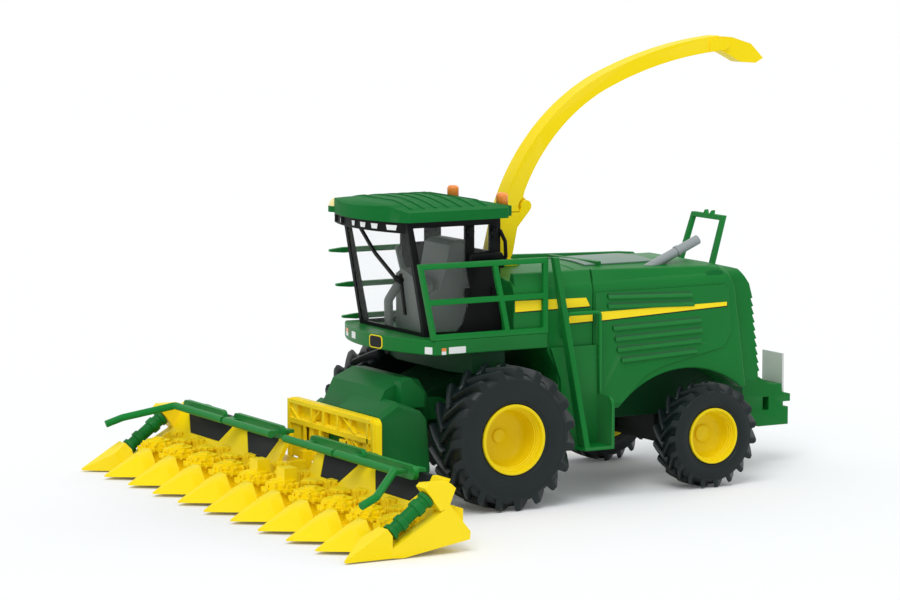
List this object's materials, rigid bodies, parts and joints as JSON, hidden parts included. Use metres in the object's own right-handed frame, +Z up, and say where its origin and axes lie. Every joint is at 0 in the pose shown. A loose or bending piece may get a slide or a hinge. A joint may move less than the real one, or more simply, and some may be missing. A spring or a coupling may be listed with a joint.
{
  "type": "toy forage harvester",
  "caption": "Scale-model forage harvester with rotary header, rolling and steering wheels, lifting header and swivelling spout.",
  "frame": {"origin": "on the ground, on the centreline, midway between the header's tips and the hitch", "axes": "+Z up, +X the machine's left, -Y its front"},
  "size_m": [0.237, 0.2706, 0.182],
  "materials": {
    "tyre": "semi-gloss black",
    "yellow_plastic": "moulded yellow, glossy",
    "green_plastic": "moulded green, satin gloss",
    "black_plastic": "moulded black, satin",
    "grey_plastic": "moulded grey, satin",
    "silver_plastic": "silver-grey, satin",
    "clear_plastic": "clear glazing",
    "amber_plastic": "translucent amber",
    "lamp_white": "clear white lamps",
    "lamp_pale": "pale yellow lamp"
  },
  "bodies": {
    "machine": {"spout_turret": "yellow_plastic", "body_front": "green_plastic", "hood": "green_plastic", "platform": "green_plastic", "cab_roof": "green_plastic", "rail_left": "green_plastic", "rail_right": "green_plastic", "stairs": "green_plastic", "stair_handrail": "green_plastic", "side_panels": "green_plastic", "spout_cradle": "green_plastic", "rear_hitch": "green_plastic", "rear_grille": "green_plastic", "chassis": "black_plastic", "front_axle": "black_plastic", "rear_axle": "black_plastic", "cab_frame": "black_plastic", "lamp_bar": "black_plastic", "cab_interior": "grey_plastic", "steering_column": "grey_plastic", "rear_plate": "grey_plastic", "top_grille": "grey_plastic", "exhaust": "silver_plastic", "cab_glass": "clear_plastic", "beacons": "amber_plastic", "work_lamps": "lamp_white", "corner_lamp": "lamp_pale"},
    "wheel_front_left": {"tyre_front_left": "tyre", "rim_front_left": "yellow_plastic"},
    "wheel_front_right": {"tyre_front_right": "tyre", "rim_front_right": "yellow_plastic"},
    "wheel_rear_left": {"tyre_rear_left": "tyre", "rim_rear_left": "yellow_plastic"},
    "wheel_rear_right": {"tyre_rear_right": "tyre", "rim_rear_right": "yellow_plastic"},
    "knuckle_left": {"knuckle_left": "black_plastic"},
    "knuckle_right": {"knuckle_right": "black_plastic"},
    "header": {"feeder_house": "green_plastic", "attach_frame": "yellow_plastic", "header_trough": "yellow_plastic", "header_panels": "black_plastic", "snouts": "yellow_plastic", "rotors": "yellow_plastic", "end_dividers": "yellow_plastic", "augers": "green_plastic", "header_rails": "green_plastic"},
    "spout_base": {"spout_base": "yellow_plastic"},
    "spout_arm": {"spout_arm": "yellow_plastic"},
    "spout_flap": {"spout_flap": "yellow_plastic"}
  },
  "joints": [
    {"name": "front_left_spin", "type": "hinge", "parent": "machine", "child": "wheel_front_left", "pos_m": [0.045, -0.02675, 0.0286], "axis": [1, 0, 0], "continuous": true},
    {"name": "front_right_spin", "type": "hinge", "parent": "machine", "child": "wheel_front_right", "pos_m": [-0.045, -0.02675, 0.0286], "axis": [1, 0, 0], "continuous": true},
    {"name": "steer_left", "type": "hinge", "parent": "machine", "child": "knuckle_left", "pos_m": [0.027, 0.07225, 0.0215], "axis": [0, 0, 1], "range_deg": [-20, 20]},
    {"name": "steer_right", "type": "hinge", "parent": "machine", "child": "knuckle_right", "pos_m": [-0.027, 0.07225, 0.0215], "axis": [0, 0, 1], "range_deg": [-20, 20]},
    {"name": "rear_left_spin", "type": "hinge", "parent": "knuckle_left", "child": "wheel_rear_left", "pos_m": [0.0396, 0.07225, 0.0215], "axis": [1, 0, 0], "continuous": true},
    {"name": "rear_right_spin", "type": "hinge", "parent": "knuckle_right", "child": "wheel_rear_right", "pos_m": [-0.0396, 0.07225, 0.0215], "axis": [1, 0, 0], "continuous": true},
    {"name": "header_lift", "type": "hinge", "parent": "machine", "child": "header", "pos_m": [0, -0.04175, 0.038], "axis": [-1, 0, 0], "range_deg": [0, 12]},
    {"name": "spout_swivel", "type": "hinge", "parent": "machine", "child": "spout_base", "pos_m": [0, -0.00125, 0.093], "axis": [0, 0, 1], "range_deg": [-100, 100]},
    {"name": "spout_lift", "type": "hinge", "parent": "spout_base", "child": "spout_arm", "pos_m": [0, 0.00825, 0.115], "axis": [-1, 0, 0], "range_deg": [0, 38]},
    {"name": "flap_tilt", "type": "hinge", "parent": "spout_arm", "child": "spout_flap", "pos_m": [0, 0.10345, 0.1786], "axis": [-1, 0, 0], "range_deg": [-20, 35]}
  ],
  "couplings": [
    {"joint": "steer_right", "follows": "steer_left", "ratio": 1}
  ]
}
